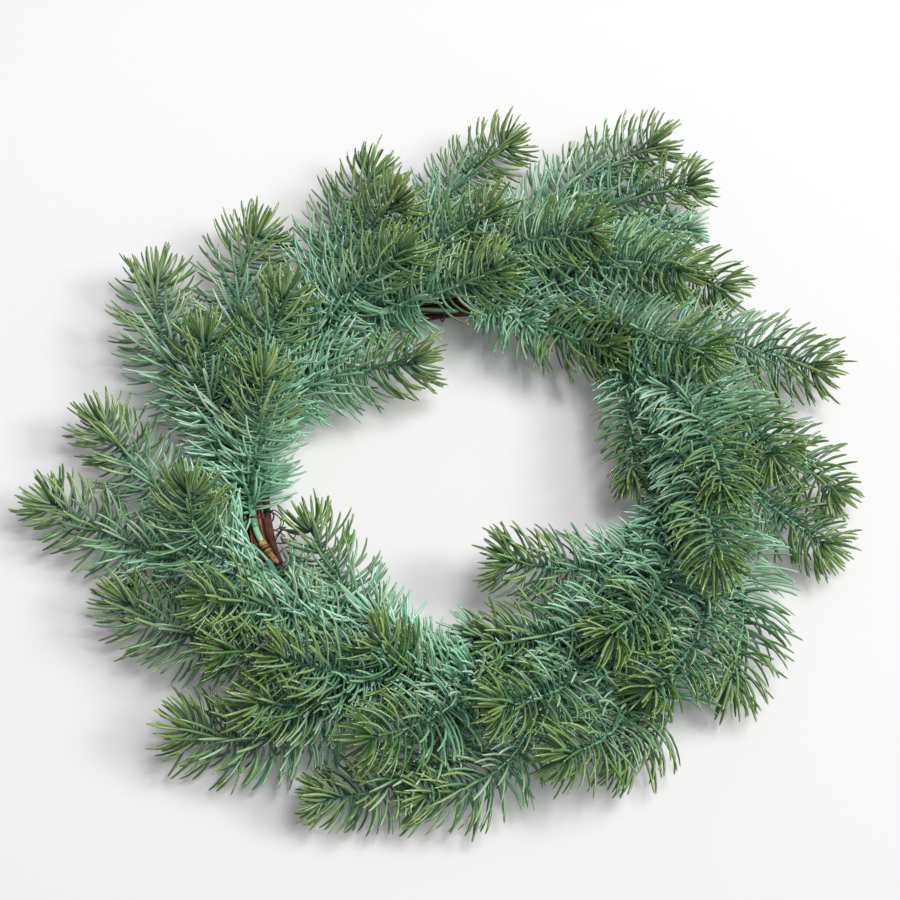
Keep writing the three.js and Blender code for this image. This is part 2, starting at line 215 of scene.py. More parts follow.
@dataclass(frozen=True)
class NeedleFinish:
    """Moulded needles and their stem: blue-green, turning olive at the twig's end, with painted light and
    shade.
    """

    name: str = "moulded_needles"
    fresh: Colour = srgb(145, 204, 171)
    # The pale colours come at high tones, which are partly random and partly painted light on the upper
    # needles.
    fresh_pale: Colour = srgb(198, 219, 204)
    # Painted shade colour of the blue-green needles, used near the roots and on low-toned needles.
    fresh_shaded: Colour = srgb(40, 96, 71)
    ripe: Colour = srgb(82, 116, 49)
    ripe_pale: Colour = srgb(140, 163, 94)
    # Painted shade colour of the olive needles.
    ripe_shaded: Colour = srgb(27, 51, 22)
    # Painted glint colour at each needle's tip.
    end: Colour = srgb(206, 224, 204)
    patch_scale: float = 38.0
    patch_share: float = 0.25
    streak_scale: float = 900.0
    streak_depth: float = 0.00015
    streak_strength: float = 0.18
    least_ripe: float = 0.55
    ripening: float = 0.7
    # Painted shade near the needle roots, stronger on low-toned needles.
    root_shade_until: float = 0.6
    least_root_shade: float = 0.3
    root_shading: float = 0.62
    # Painted shade on needles with low tones.
    shade_under: float = 0.3
    shade: float = 0.45
    # Where the painted tip glint starts along the needle, and how strong it is.
    glint_from: float = 0.95
    glint_share: float = 0.7
    roughness: Pair = (0.15, 0.16)
    reflection: float = 0.62

    def material(self) -> bpy.types.Material:
        """Builds the material.

        Returns:
            The material.
        """
        graph = Graph(self.name)
        tone = graph.mark("tone")
        along = graph.mark("along")
        ripe = graph.mark("ripe") * (along * self.ripening + self.least_ripe)
        patches = graph.remap(graph.noise(self.patch_scale, 2.0), 0.3, 0.7)
        # Paleness from the tone, which carries painted light on the upper needles, and from random
        # patches.
        pale = graph.remap(tone * (1 - self.patch_share) + patches * self.patch_share, 0.35, 0.95)
        # Painted shade near the needle roots, stronger on low-toned needles.
        low = graph.remap(1 - tone, 0.2, 1.0) * self.root_shading + self.least_root_shade
        deep = graph.remap(self.root_shade_until - along, 0.0, self.root_shade_until) * low
        fresh = graph.blend(deep, graph.blend(pale, self.fresh, self.fresh_pale), self.fresh_shaded)
        olive = graph.blend(deep, graph.blend(pale, self.ripe, self.ripe_pale), self.ripe_shaded)
        body = graph.blend(ripe, fresh, olive)
        # Painted shade on needles with low tones.
        shaded = graph.remap(self.shade_under - tone, 0.0, self.shade_under) * self.shade
        body = graph.blend(shaded, body, graph.blend(ripe, self.fresh_shaded, self.ripe_shaded))
        # Painted glint at each needle's tip.
        colour = graph.blend(graph.remap(along, self.glint_from, 1.0) * self.glint_share, body, self.end)
        streaks = graph.noise(self.streak_scale, 2.0)
        varying = {
            "Base Color": colour,
            "Roughness": graph.uneven(streaks, *self.roughness),
            "Normal": graph.bump(streaks, self.streak_depth, self.streak_strength),
        }
        return graph.finish(varying, {"Specular IOR Level": self.reflection})


@dataclass(frozen=True)
class BarkFinish:
    """Dry vine bark: dark reddish brown with grey scuffs, and painted orange highlights on its ridges."""

    name: str
    dark: Colour = srgb(52, 29, 26)
    middle: Colour = srgb(122, 66, 48)
    # Painted highlight colour on the ridges.
    ridge: Colour = srgb(216, 130, 76)
    scuff: Colour = srgb(164, 140, 122)
    patch_scale: float = 70.0
    grain_scale: float = 1400.0
    scuff_scale: float = 210.0
    scuff_share: float = 0.6
    depth: float = 0.0004
    strength: float = 0.6
    roughness: Pair = (0.58, 0.25)

    def material(self) -> bpy.types.Material:
        """Builds the material.

        Returns:
            The material.
        """
        graph = Graph(self.name)
        ridge = graph.mark("ridge")
        grain = graph.noise(self.grain_scale, 3.0)
        patches = graph.remap(graph.noise(self.patch_scale, 4.0), 0.35, 0.65)
        body = graph.blend(patches, self.dark, self.middle)
        # Painted highlight: the ridges and the coarse grain are lit orange.
        lit = graph.blend(graph.remap(ridge + grain * 0.5, 0.6, 1.1), body, self.ridge)
        scuffed = graph.remap(graph.noise(self.scuff_scale, 5.0), 0.66, 0.76) * self.scuff_share
        varying = {
            "Base Color": graph.blend(scuffed, lit, self.scuff),
            "Roughness": graph.uneven(grain, *self.roughness),
            "Normal": graph.bump(grain + ridge * 0.5, self.depth, self.strength),
        }
        return graph.finish(varying, {})


@dataclass(frozen=True)
class PlainFinish:
    """A fine-grained finish with two tones, for the wire, the wraps and the ties."""

    name: str
    base: Colour
    second: Colour
    roughness: Pair
    scale: float
    depth: float = 0.0002
    strength: float = 0.5

    def material(self) -> bpy.types.Material:
        """Builds the material.

        Returns:
            The material.
        """
        graph = Graph(self.name)
        grain = graph.noise(self.scale, 4.0)
        varying = {
            "Base Color": graph.blend(graph.remap(grain, 0.35, 0.65), self.base, self.second),
            "Roughness": graph.uneven(grain, *self.roughness),
            "Normal": graph.bump(grain, self.depth, self.strength),
        }
        return graph.finish(varying, {})


def unit(vectors: Points) -> Points:
    """Scales vectors to length 1."""
    return vectors / np.maximum(np.linalg.norm(vectors, axis=-1, keepdims=True), 1e-9)


def heading(aim: float, climb: float) -> Points:
    """Gives the direction at a compass angle and a climb, both in degrees."""
    a, c = math.radians(aim), math.radians(climb)
    return np.array([math.cos(c) * math.cos(a), math.cos(c) * math.sin(a), math.sin(c)])


def level_and_lift(along: Points) -> tuple[Points, Points]:
    """Gives the two directions square to headings: one level, and the other as near up as can be."""
    level = unit(np.cross(along, UP))
    return level, np.cross(level, along)


@dataclass(frozen=True)
class Ring:
    """The bundle of vine that carries everything, and the way from its layout to the frame."""

    centre: Pair = (14.37, -15.49)
    radius: float = 125.0
    height: float = 10.5
    bundle: float = 11.0
    stalk_height: float = 24.0

    def to_frame(self, layout: Points) -> Points:
        """Moves points from the ring's centre, in millimetres, to the frame, in metres."""
        return (layout + np.array([*self.centre, 0.0])) * MILLIMETRE

    def point(self, around: Points | float, roll: Points | float, offset: Points | float) -> Points:
        """Finds points round the ring's core.

        Args:
            around: the angle round the ring, in degrees.
            roll: the angle round the core, in degrees.
            offset: the distance from the core.

        Returns:
            The points, in millimetres from the ring's centre.
        """
        a, r = np.radians(around), np.radians(roll)
        reach = self.radius + offset * np.cos(r)
        height = self.height + offset * np.sin(r) + 0 * a
        return np.stack([reach * np.cos(a), reach * np.sin(a), height], axis=-1)

    def crest(self, around: Points | float) -> Points:
        """Finds points of the stalks' line along the top of the ring."""
        return self.point(around, TOP, self.stalk_height - self.height)

    def core(self, layout: Points) -> Points:
        """Finds the points of the ring's core that are nearest to points."""
        return unit(layout * LEVEL) * self.radius + UP * self.height

    def push_out(self, layout: Points, gap: float) -> Points:
        """Moves points out of the bundle, square to its core.

        Args:
            layout: the points, in millimetres from the ring's centre.
            gap: how far outside the bundle they stay.

        Returns:
            The moved points.
        """
        core = self.core(layout)
        away = layout - core
        distance = np.linalg.norm(away, axis=-1, keepdims=True)
        wanted = np.maximum(distance, self.bundle + gap)
        return core + away / np.maximum(distance, 1e-6) * wanted


RING = Ring()


def put(name: str, data: bpy.types.ID) -> bpy.types.Object:
    """Adds an object to the scene.

    Args:
        name: its name.
        data: its mesh, light or camera.

    Returns:
        The object.
    """
    made = bpy.data.objects.new(name, data)
    bpy.context.scene.collection.objects.link(made)
    return made


def look(thing: bpy.types.Object, ahead: Vector) -> None:
    """Turns a light or camera to look ahead."""
    thing.rotation_euler = ahead.to_track_quat("-Z", "Y").to_euler()


@dataclass
class Skin:
    """Points, faces and stored values of one piece, in millimetres from the ring's centre."""

    marks: tuple[str, ...] = ()
    points: list[Points] = field(default_factory=list)
    quads: list[Points] = field(default_factory=list)
    triangles: list[Points] = field(default_factory=list)
    values: dict[str, list[Points]] = field(default_factory=dict)
    count: int = 0

    def add_tubes(self, centres: Points, wide: Points, tall: Points, closing: Points, sides: int,
                  **values: Points) -> None:
        """Adds closed tubes, each drawn to a point at both ends.

        Args:
            centres: the tubes' stations, as tubes by stations by 3.
            wide: half the section's width at each station, as a vector.
            tall: half its height, as a vector.
            closing: the first and last point of each tube, as tubes by 2 by 3.
            sides: how many sides a tube has.
            values: each stored value, as tubes by stations and two ends.
        """
        tubes, stations = centres.shape[:2]
        turn = (FULL_TURN * np.arange(sides) / sides)[:, None]
        rings = centres[:, :, None] + wide[:, :, None] * np.cos(turn) + tall[:, :, None] * np.sin(turn)
        stored = {}
        for name, given in values.items():
            given = np.broadcast_to(given, (tubes, stations + 2))
            inner = np.repeat(given[:, 1:-1], sides, axis=1)
            stored[name] = np.concatenate([inner, given[:, :1], given[:, -1:]], axis=1)
        self.add_rings(rings, closing, stored)

    def add_rings(self, rings: Points, closing: Points, stored: dict[str, Points]) -> None:
        """Joins rings of points into closed tubes.

        Args:
            rings: the points, as tubes by stations by sides by 3.
            closing: the first and last point of each tube, as tubes by 2 by 3.
            stored: each stored value, as tubes by points, the two closing points last.
        """
        tubes, stations, sides = rings.shape[:3]
        per_tube = stations * sides + 2
        self.points.append(np.concatenate([rings.reshape(tubes, -1, 3), closing], axis=1).reshape(-1, 3))
        first = self.count + per_tube * np.arange(tubes)[:, None, None]
        side = np.arange(sides)
        after = (side + 1) % sides
        row = sides * np.arange(stations - 1)[:, None]
        quad = np.stack([row + side, row + after, row + sides + after, row + sides + side], axis=-1)
        self.quads.append((first + quad.reshape(-1, 4)).reshape(-1, 4))
        last = sides * (stations - 1)
        start_fan = np.stack([np.full(sides, per_tube - 2), after, side], axis=-1)
        end_fan = np.stack([np.full(sides, per_tube - 1), last + side, last + after], axis=-1)
        self.triangles.append((first + np.concatenate([start_fan, end_fan])).reshape(-1, 3))
        for name in self.marks:
            given = stored.get(name, np.zeros((tubes, per_tube)))
            self.values.setdefault(name, []).append(given.reshape(-1))
        self.count += per_tube * tubes

    def build(self, name: str, material: bpy.types.Material, slot: Slot, node: str = "") -> None:
        """Makes the piece, riding on the wreath.

        Args:
            name: its name.
            material: its material.
            slot: the material slot that it belongs to; not used.
            node: the CAD node that it stands for, if any.
        """
        mesh = bpy.data.meshes.new(name)
        points = RING.to_frame(np.concatenate(self.points)).astype(np.float32)
        quads = np.concatenate(self.quads)
        triangles = np.concatenate(self.triangles)
        corners = np.concatenate([quads.reshape(-1), triangles.reshape(-1)]).astype(np.int32)
        fours, threes = 4 * np.arange(len(quads)), 3 * np.arange(len(triangles))
        starts = np.concatenate([fours, 4 * len(quads) + threes])
        mesh.vertices.add(len(points))
        mesh.vertices.foreach_set("co", points.reshape(-1))
        mesh.loops.add(len(corners))
        mesh.loops.foreach_set("vertex_index", corners)
        mesh.polygons.add(len(starts))
        mesh.polygons.foreach_set("loop_start", starts.astype(np.int32))
        mesh.update(calc_edges=True)
        mesh.shade_smooth()
        for mark in self.marks:
            layer = mesh.attributes.new(mark, "FLOAT", "POINT")
            layer.data.foreach_set("value", np.concatenate(self.values[mark]).astype(np.float32))
        mesh.materials.append(material)
        piece = put(name, mesh)
        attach(piece, BODY)
        if node:
            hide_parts(node)
        LOG.info("%s: %d triangles", name, 2 * len(quads) + len(triangles))


@dataclass(frozen=True)
class Twig:
    """One twig: where it leaves its stalk, where it ends and how it heads there."""

    root: float
    end: Place
    aim: float
    climb: float
    plain: bool = False
    fullness: float = 1.0
    ripeness: float = 1.0


@dataclass
class Route:
    """A smooth path that can be read at any share of its length."""

    points: Points

    def __post_init__(self) -> None:
        """Measures the path."""
        steps = np.linalg.norm(np.diff(self.points, axis=0), axis=1)
        self.reach = np.concatenate([[0.0], np.cumsum(steps)])

    @property
    def length(self) -> float:
        """The path's length."""
        return float(self.reach[-1])

    def at(self, shares: Points) -> Points:
        """Gives the points at shares of the length."""
        wanted = shares * self.length
        return np.stack([np.interp(wanted, self.reach, self.points[:, i]) for i in range(3)], axis=-1)

    def along(self, shares: Points) -> Points:
        """Gives the headings at shares of the length."""
        step = 0.5 / self.length
        return unit(self.at(np.minimum(shares + step, 1.0)) - self.at(np.maximum(shares - step, 0.0)))


@dataclass(frozen=True)
class Course:
    """How a twig leaves the stalk and turns to its last heading."""

    aside: float = 0.75
    rise: float = 0.4
    start_pull: float = 0.22
    end_pull: float = 0.66
    steps: int = 80

    def route(self, twig: Twig) -> Route:
        """Draws a twig's path.

        Args:
            twig: the twig.

        Returns:
            Its path, in millimetres from the ring's centre.
        """
        start = RING.crest(twig.root)
        end = np.array(twig.end, float)
        span = np.linalg.norm(end - start)
        toward = unit((end - start) * LEVEL)
        leave = unit(unit(heading(twig.root - 90, 0) + self.aside * toward) + UP * self.rise)
        second = start + leave * span * self.start_pull
        third = end - heading(twig.aim, twig.climb) * span * self.end_pull
        t = np.linspace(0, 1, self.steps)[:, None]
        s = 1 - t
        return Route(s ** 3 * start + 3 * s * s * t * second + 3 * s * t * t * third + t ** 3 * end)


COURSE = Course()


@dataclass(frozen=True)
class Coat:
    """How needles clothe a stretch of stem. Pairs run from the stretch's start to its end."""

    spacing: Pair
    lean: Pair
    length: Pair
    ripe: Pair
    bend: Pair
    flatten: float = 0.3
    bare: float = 0.0
    ripening: float = 1.0
    # Scales the needles' tones; below 1 it gives them more painted shade.
    paleness: float = 1.0


@dataclass(frozen=True)
class Parting:
    """A stretch that the needles are parted round, so that what lies there shows."""

    points: Points
    radius: float
    height: float
    slant: float = SIGHT_SLANT
    depth: float = 2.0

    @classmethod
    def over_vine(cls, first: float, last: float) -> "Parting":
        """Makes a parting that shows the ring's inner shoulder between two angles, in degrees."""
        shoulder = RING.point(np.linspace(first, last, 16), 145.0, RING.bundle)
        return cls(shoulder, radius=4.2, height=32.0)

    def hits(self, line: Points) -> Points:
        """Finds the needles that pass through it.

        Args:
            line: the needles' stations.

        Returns:
            True for each needle that does.
        """
        finer = np.concatenate([line, (line[:, 1:] + line[:, :-1]) / 2], axis=1)
        gap = finer[:, :, None] - self.points[None, None]
        above = gap[..., 2]
        aside = np.hypot(gap[..., 0], gap[..., 1] + self.slant * above)
        inside = (aside < self.radius) & (above > -self.depth) & (above < self.height)
        return inside.any(axis=(1, 2))


@dataclass
class Stem:
    """A stem along a stretch of a path, with the piece that takes it and its stream of draws."""

    skin: Skin
    route: Route
    span: Pair
    radius: float
    random: Draws


@dataclass
class Needles:
    """Needles on a stem, with one value of each sort for each of them.

    Shares are their places on the stem's path, rolls their angles round the stem, leans their
    angles from it, and bends how far they turn back to it by their ends, in radians. Tones say
    how pale they are, from 0 to 1, by chance and by painted light on the stem's upper side, a
    low tone giving painted shade; ripes say how olive they are, from 0 to 1.
    """

    shares: Points
    rolls: Points
    leans: Points
    bends: Points
    lengths: Points
    tones: Points
    ripes: Points


@dataclass(frozen=True)
class NeedleShape:
    """One needle's form, a slim lance with four soft edges, and how much the needles vary."""

    partings: tuple[Parting, ...] = ()
    half_width: float = 0.94
    half_height: float = 0.8
    sides: int = 4
    stations: tuple[float, ...] = (0.0, 0.16, 0.38, 0.62, 0.84, 0.96)
    girth: tuple[float, ...] = (0.82, 0.84, 1.0, 1.0, 0.84, 0.54)
    variety: Pair = (0.84, 1.1)
    sunk: float = 0.55
    cap: float = 0.3
    roll_spread: float = 0.16
    sway: float = 10.0
    side_lean: float = 9.0
    curl: float = 0.16
    tones: Pair = (0.1, 1.0)
    # Painted light: needles above the stem get higher tones, so paler colours; those below get lower
    # tones, so painted shade.
    upper_light: float = 0.35
    ripe_spread: float = 0.1
    floor: float = 1.1
    floor_spread: float = 2.5
    floor_softness: float = 2.0
    ring_gap: float = 0.7
    depth_kept: float = 0.45

    def grow(self, stem: Stem, coat: Coat, twig: Twig | None = None) -> int:
        """Clothes a stem.

        Args:
            stem: the stem.
            coat: how the needles stand.
            twig: the twig, if its needles are shorter or less olive than most.

        Returns:
            How many needles it grew.
        """
        random = stem.random
        first, last = stem.span
        stretch = (last - first) * stem.route.length - coat.bare
        close, wide = (1 / spacing for spacing in coat.spacing)
        count = max(1, round(stretch * (close + wide) / 2))
        filled = (np.arange(count) + 0.5) / count
        grid = np.linspace(0, 1, 200)
        crowd = close * grid + (wide - close) * grid ** 2 / 2
        grown = np.interp(filled * (close + wide) / 2, crowd, grid)
        shares = first + (coat.bare + grown * stretch) / stem.route.length
        roll = random.uniform(0, FULL_TURN) + GOLDEN_TURN * np.arange(count)
        roll = roll - coat.flatten * np.sin(2 * roll) + random.normal(0, self.roll_spread, count)
        sway = random.normal(0, self.sway, (2, count))
        lean = np.interp(grown, (0, 1), coat.lean) + sway[0] - self.side_lean * np.sin(roll) ** 2
        bend = np.interp(grown, (0, 1), coat.bend) + sway[1]
        length = np.interp(grown, (0, 1), coat.length) * random.uniform(*self.variety, count)
        # Painted light and shade by each needle's roll round the stem.
        lit = 1 - self.upper_light + self.upper_light * np.sin(roll)
        tone = random.uniform(*self.tones, count) * lit * coat.paleness
        ripe = np.interp(grown ** coat.ripening, (0, 1), coat.ripe)
        if twig:
            length = length * twig.fullness
            ripe = ripe * twig.ripeness
        ripe = np.clip(ripe + random.normal(0, self.ripe_spread, count), 0, 1)
        needles = Needles(shares, roll, np.radians(lean), np.radians(bend), length, tone, ripe)
        self.place(stem, needles)
        return count

    def place(self, stem: Stem, needles: Needles) -> None:
        """Adds needles to a stem.

        Args:
            stem: the stem.
            needles: how they stand and look.
        """
        along = stem.route.along(needles.shares)
        level, lift = level_and_lift(along)
        outward = level * np.cos(needles.rolls)[:, None] + lift * np.sin(needles.rolls)[:, None]
        aside = np.cross(along, outward)
        curl = stem.random.normal(0, self.curl, len(needles.shares))
        places = np.array([*self.stations, 1.0])
        middles = (places[1:] + places[:-1]) / 2
        angle = needles.leans[:, None] - needles.bends[:, None] * middles
        step = (np.cos(angle)[..., None] * along[:, None] + np.sin(angle)[..., None] * outward[:, None]
                + (curl[:, None] * middles)[..., None] * aside[:, None])
        step = unit(step) * (needles.lengths[:, None] * np.diff(places))[..., None]
        root = stem.route.at(needles.shares) + outward * (stem.radius * self.sunk)
        line = np.concatenate([root[:, None], root[:, None] + np.cumsum(step, axis=1)], axis=1)
        line, kept = self.clear(line, stem.random)
        if not kept.any():
            return
        heads = unit(np.gradient(line, axis=1))
        wide = unit(np.cross(np.cross(heads, aside[kept][:, None]), heads))
        tall = np.cross(heads, wide)
        girth = np.array(self.girth)[:, None] * stem.random.uniform(*self.variety, (len(line), 1, 1))
        inner = slice(len(self.stations))
        stem.skin.add_tubes(
            line[:, inner],
            wide[:, inner] * girth * self.half_width,
            tall[:, inner] * girth * self.half_height,
            np.stack([line[:, 0] - heads[:, 0] * self.cap, line[:, -1]], axis=1),
            self.sides,
            tone=needles.tones[kept][:, None],
            ripe=needles.ripes[kept][:, None],
            along=np.array([[0.0, *self.stations, 1.0]]),
        )

    def clear(self, line: Points, random: Draws) -> tuple[Points, Points]:
        """Bends needles off the surface and the ring, and drops those that stand deep in the ring.

        Args:
            line: the needles' stations.
            random: the stream of draws.

        Returns:
            The moved stations of the needles that are kept, and which these are.
        """
        floor = self.floor + random.uniform(0, self.floor_spread, (len(line), 1))
        above = (line[..., 2] - floor) / self.floor_softness
        raised = floor + self.floor_softness * np.logaddexp(0, above)
        line = np.concatenate([line[..., :2], raised[..., None]], axis=-1)
        nearest = np.linalg.norm(line - RING.core(line), axis=-1).min(axis=1)
        kept = nearest > self.depth_kept * RING.bundle
        for parting in self.partings:
            kept = kept & ~parting.hits(line)
        return RING.push_out(line[kept], self.ring_gap), kept


@dataclass(frozen=True)
class Brush:
    """The needles that fan out of a twig's very end."""

    count: int = 24
    least_lean: float = 14.0
    lean_spread: float = 76.0
    bend: Pair = (0.3, 0.95)
    length: Pair = (18.5, 24.5)
    ripe_spread: float = 0.08
    radius: float = 0.7
    setback: float = 0.6

    def grow(self, stem: Stem, shape: NeedleShape, twig: Twig, ripe: float) -> int:
        """Adds the needles.

        Args:
            stem: the twig's stem.
            shape: the needles' form.
            twig: the twig.
            ripe: how olive they are.

        Returns:
            How many there are.
        """
        count, random = self.count, stem.random
        shares = np.full(count, 1 - self.setback / stem.route.length)
        roll = FULL_TURN * (np.arange(count) + random.uniform(0, 1)) / count
        lean = np.radians(self.least_lean + self.lean_spread * np.sqrt(random.uniform(0, 1, count)))
        bend = lean * random.uniform(*self.bend, count)
        length = random.uniform(*self.length, count) * twig.fullness
        tone = random.uniform(0, 1, count)
        ripes = np.clip(ripe + random.normal(0, self.ripe_spread, count), 0, 1)
        needles = Needles(shares, roll, lean, bend, length, tone, ripes)
        shape.place(replace(stem, radius=self.radius), needles)
        return count


@dataclass(frozen=True)
class StemShape:
    """A moulded stem, slightly lumpy where the needles leave it."""

    radius: float
    step: float = 1.6
    sides: int = 8
    lump: float = 0.04
    taper: float = 0.0
    # A low tone and a low along give the stem painted shade.
    tone: float = 0.2
    along: float = 0.15
    first_girth: float = 0.9
    last_girth: float = 0.7
    first_cap: float = 0.3
    last_cap: float = 0.6

    def build(self, skin: Skin, route: Route, span: Pair, random: Draws, ripe: Pair = (0.0, 0.0)) -> Stem:
        """Adds the stem along a stretch of its path.

        Args:
            skin: the piece that takes the stem.
            route: the path.
            span: the stretch's ends, as shares of the path.
            random: the stream of draws.
            ripe: how olive the stretch is at its start and end.

        Returns:
            The stem, to clothe with needles.
        """
        stretch = (span[1] - span[0]) * route.length
        stations = max(4, round(stretch / self.step))
        grown = np.linspace(0, 1, stations)
        shares = span[0] + (span[1] - span[0]) * grown
        centres = route.at(shares)
        along = route.along(shares)
        level, lift = level_and_lift(along)
        lumps = random.uniform(1 - self.lump, 1 + self.lump, stations)
        girth = self.radius * (1 - self.taper * grown) * lumps
        girth[0] *= self.first_girth
        girth[-1] *= self.last_girth
        first = centres[0] - along[0] * self.first_cap
        last = centres[-1] + along[-1] * self.radius * self.last_cap
        skin.add_tubes(
            centres[None],
            (lift * girth[:, None])[None],
            (level * girth[:, None])[None],
            np.stack([first, last])[None],
            self.sides,
            tone=np.array([[self.tone]]),
            ripe=np.interp(np.linspace(0, 1, stations + 2), (0, 1), ripe)[None],
            along=np.array([[self.along]]),
        )
        return Stem(skin, route, span, self.radius, random)


@dataclass(frozen=True)
class Cord:
    """A round cord of even thickness along a path."""

    radius: float
    step: float = 1.6
    sides: int = 6
    cap: float = 0.4
    first_normal: Place = (0.1, 0.2, 1.0)

    def build(self, skin: Skin, route: Route) -> None:
        """Adds the cord.

        Args:
            skin: the piece that takes it.
            route: its path.
        """
        shares = np.linspace(0, 1, max(6, round(route.length / self.step)))
        centres = route.at(shares)
        along = route.along(shares)
        normal = np.array(self.first_normal)
        normals = []
        for here in along:
            normal = unit(normal - here * normal.dot(here))
            normals.append(normal)
        wide = np.array(normals) * self.radius
        cap = self.radius * self.cap
        ends = np.stack([centres[0] - along[0] * cap, centres[-1] + along[-1] * cap])
        skin.add_tubes(centres[None], wide[None], np.cross(along, wide)[None], ends[None], self.sides)


@dataclass
class ButtTrim:
    """The wraps, bare stems and threads of all the butts, each sort in one piece."""

    wraps: Skin = field(default_factory=Skin)
    stems: Skin = field(default_factory=Skin)
    threads: Skin = field(default_factory=Skin)
    paper: PlainFinish = PlainFinish(
        "tape_paper", srgb(206, 164, 104), srgb(150, 102, 56), roughness=(0.4, 0.2), scale=260.0)
    wood: PlainFinish = PlainFinish(
        "bare_stem", srgb(184, 136, 98), srgb(132, 86, 58), roughness=(0.5, 0.2), scale=420.0)
    thread: PlainFinish = PlainFinish(
        "tie_thread", srgb(78, 46, 34), srgb(48, 28, 22), roughness=(0.5, 0.2), scale=900.0)

    def build(self) -> None:
        """Makes the three pieces."""
        self.wraps.build("paper_wraps", self.paper.material(), Slot.VINE)
        self.stems.build("bare_stems", self.wood.material(), Slot.VINE)
        self.threads.build("tie_threads", self.thread.material(), Slot.WIRE)


@dataclass
class Butt:
    """The bare start of a stalk: a smooth sleeve, a paper wrap tied with thread, and the bare stem."""

    start: float
    inward: float = 4.5
    drop: float = 1.6
    overlap: float = 5.0
    sleeve_length: float = 9.5
    wrap_length: float = 9.0
    stem_length: float = 6.5
    sleeve: StemShape = StemShape(radius=1.8, step=1.6, sides=12, lump=0.02, tone=0.4, along=0.5)
    wrap: StemShape = StemShape(radius=2.4, step=0.7, sides=14, lump=0.1)
    stem: StemShape = StemShape(radius=1.8, step=1.4, sides=12, lump=0.05)
    wrap_lap: float = 0.02
    stem_lap: float = 0.06
    thread: Cord = Cord(0.34, step=0.7)
    thread_turns: float = 5.5
    thread_start: float = 0.3
    thread_run: float = 0.62
    thread_waver: float = 0.05

    def route(self) -> Route:
        """Draws the butt's path, from inside the stalk's start to the stem's end.

        Returns:
            The path.
        """
        whole = self.overlap + self.sleeve_length + self.wrap_length + self.stem_length
        past = np.linspace(0, 1, 50) * whole - self.overlap
        eased = np.clip(past / (whole - self.overlap), 0, 1) ** 1.5
        around = np.radians(self.start) + past / RING.radius
        reach = RING.radius - self.inward * eased
        height = RING.stalk_height - self.drop * eased
        return Route(np.stack([reach * np.cos(around), reach * np.sin(around), height], axis=-1))

    def parting(self, clearly: bool) -> tuple[Parting, ...]:
        """Gives the room that the needles leave the butt.

        Args:
            clearly: if the needles above it part too, and round the vine beside it.

        Returns:
            The partings.
        """
        points = self.route().at(np.linspace(0.2, 1, 16))
        if not clearly:
            return (Parting(points, radius=2.9, height=3.0, slant=0.0),)
        return Parting(points, radius=4.4, height=34.0), Parting.over_vine(self.start - 5, self.start + 9)

    def build(self, green: Skin, trim: ButtTrim, random: Draws) -> None:
        """Builds the butt.

        Args:
            green: the spray's green piece, which takes the sleeve.
            trim: the pieces that take the rest.
            random: the stream of draws.
        """
        route = self.route()
        wrap_end = 1 - self.stem_length / route.length
        sleeve_end = wrap_end - self.wrap_length / route.length
        self.sleeve.build(green, route, (0.0, sleeve_end), random)
        self.wrap.build(trim.wraps, route, (sleeve_end - self.wrap_lap, wrap_end), random)
        self.stem.build(trim.stems, route, (wrap_end - self.stem_lap, 1.0), random)
        turns = np.linspace(0, 1, 120)
        wound = self.thread_start + self.thread_run * turns + self.thread_waver * np.sin(9 * turns)
        shares = sleeve_end + (wrap_end - sleeve_end) * wound
        level, lift = level_and_lift(route.along(shares))
        roll = FULL_TURN * self.thread_turns * turns[:, None]
        outside = self.wrap.radius + self.thread.radius * 0.8
        winding = route.at(shares) + outside * (level * np.cos(roll) + lift * np.sin(roll))
        self.thread.build(trim.threads, Route(winding))


@dataclass
class Supplies:
    """What a spray is made of: the needles' form and finish, the butts' trim, and its own draws."""

    shape: NeedleShape
    finish: bpy.types.Material
    trim: ButtTrim
    random: Draws


